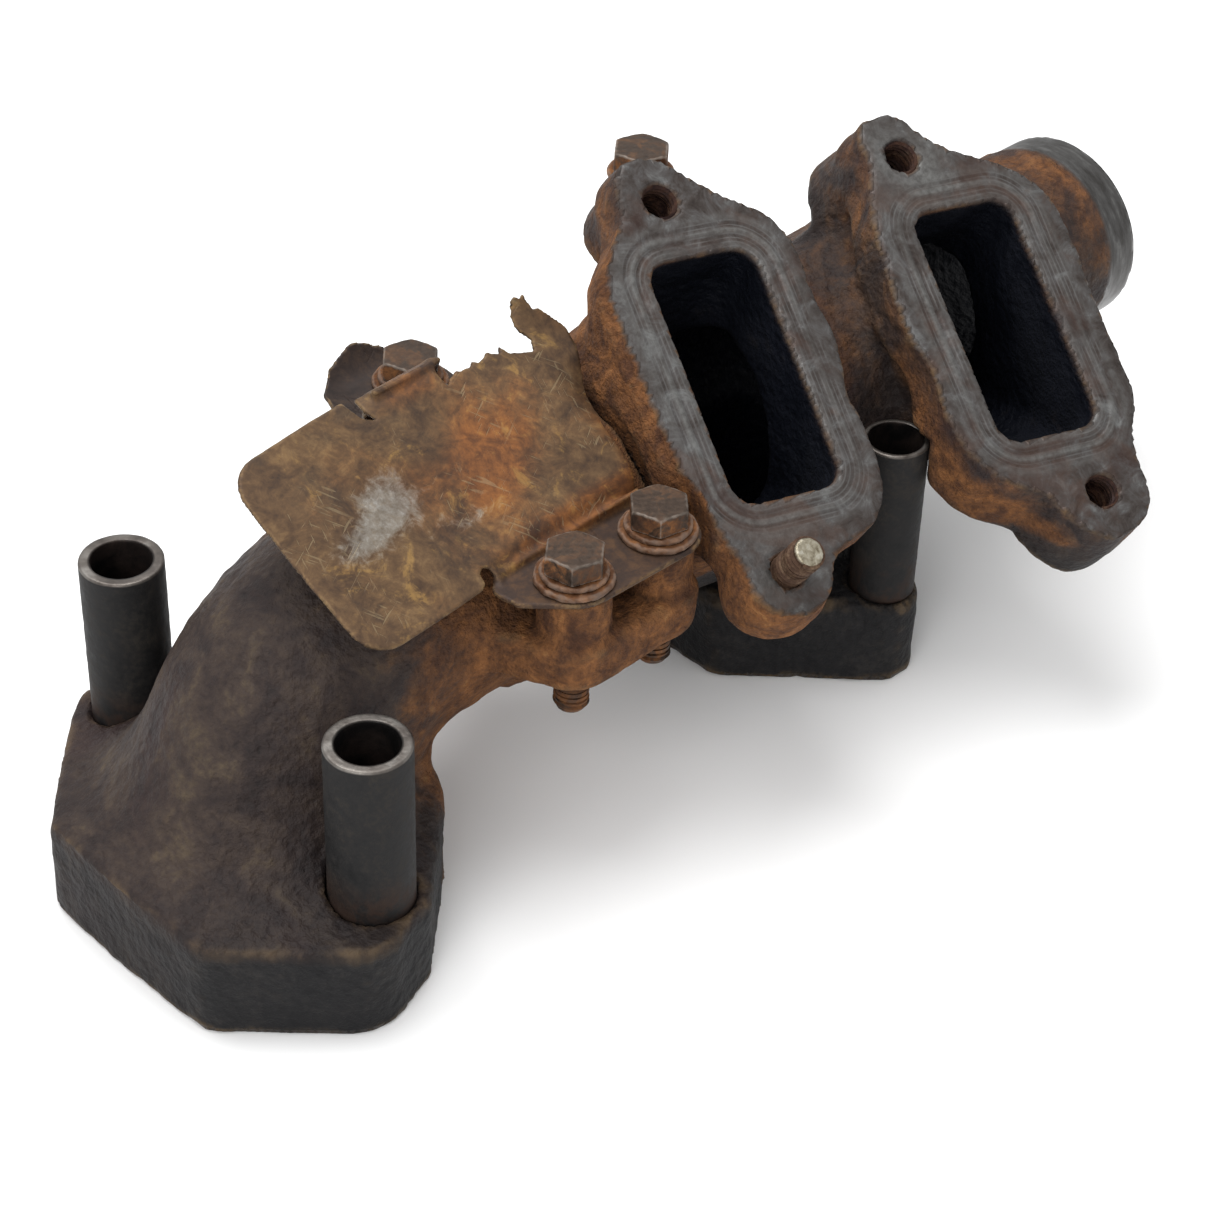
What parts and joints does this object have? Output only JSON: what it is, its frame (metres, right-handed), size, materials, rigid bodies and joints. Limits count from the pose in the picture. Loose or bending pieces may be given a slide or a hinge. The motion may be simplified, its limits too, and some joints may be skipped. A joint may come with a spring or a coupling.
{
  "type": "exhaust manifold section",
  "caption": "Cast exhaust manifold section: elbow slip-jointed to a log with two tilted turbine flanges, head feet with spacer sleeves, bolted heat shield and a rear slip spigot.",
  "frame": {"origin": "middle of the front foot's two bolt holes, on the cylinder head face", "axes": "+X along the log from the front foot to the rear foot, +Z away from the cylinder head, the outlet faces lean towards -Y"},
  "size_m": [0.33, 0.1563, 0.1305],
  "materials": {
    "casting_rust": "rusted rough casting, machined faces grey",
    "casting_dark": "heat darkened rough casting",
    "shield_sheet": "heat tinted and rusted sheet, torn far edge",
    "sleeve_steel": "blackened, end faces worn to steel",
    "ring_steel": "ground, sooted",
    "bolt_steel": "rusted hexagon bolts with worn edges",
    "washer_steel": "rusted",
    "stud_steel": "bright end face, rusty threads"
  },
  "bodies": {
    "centre": {"centre_casting": "casting_rust", "rear_near_sleeve": "sleeve_steel", "rear_far_sleeve": "sleeve_steel", "seal_ring_1": "ring_steel", "seal_ring_2": "ring_steel", "outlet_side_bolt": "bolt_steel", "outlet_side_washer": "washer_steel", "outlet_stud": "stud_steel"},
    "front": {"front_elbow_casting": "casting_dark", "front_near_sleeve": "sleeve_steel", "front_far_sleeve": "sleeve_steel", "heat_shield": "shield_sheet", "near_front_bolt": "bolt_steel", "near_front_plain_washer": "washer_steel", "near_front_disc_washer": "washer_steel", "near_rear_bolt": "bolt_steel", "near_rear_plain_washer": "washer_steel", "near_rear_disc_washer": "washer_steel", "far_bolt": "bolt_steel", "far_plain_washer": "washer_steel", "far_disc_washer": "washer_steel"}
  },
  "joints": [
    {"name": "slip_joint", "type": "slide", "parent": "centre", "child": "front", "axis": [1, 0, 0], "range_m": [-0.0015, 0.0015]}
  ]
}
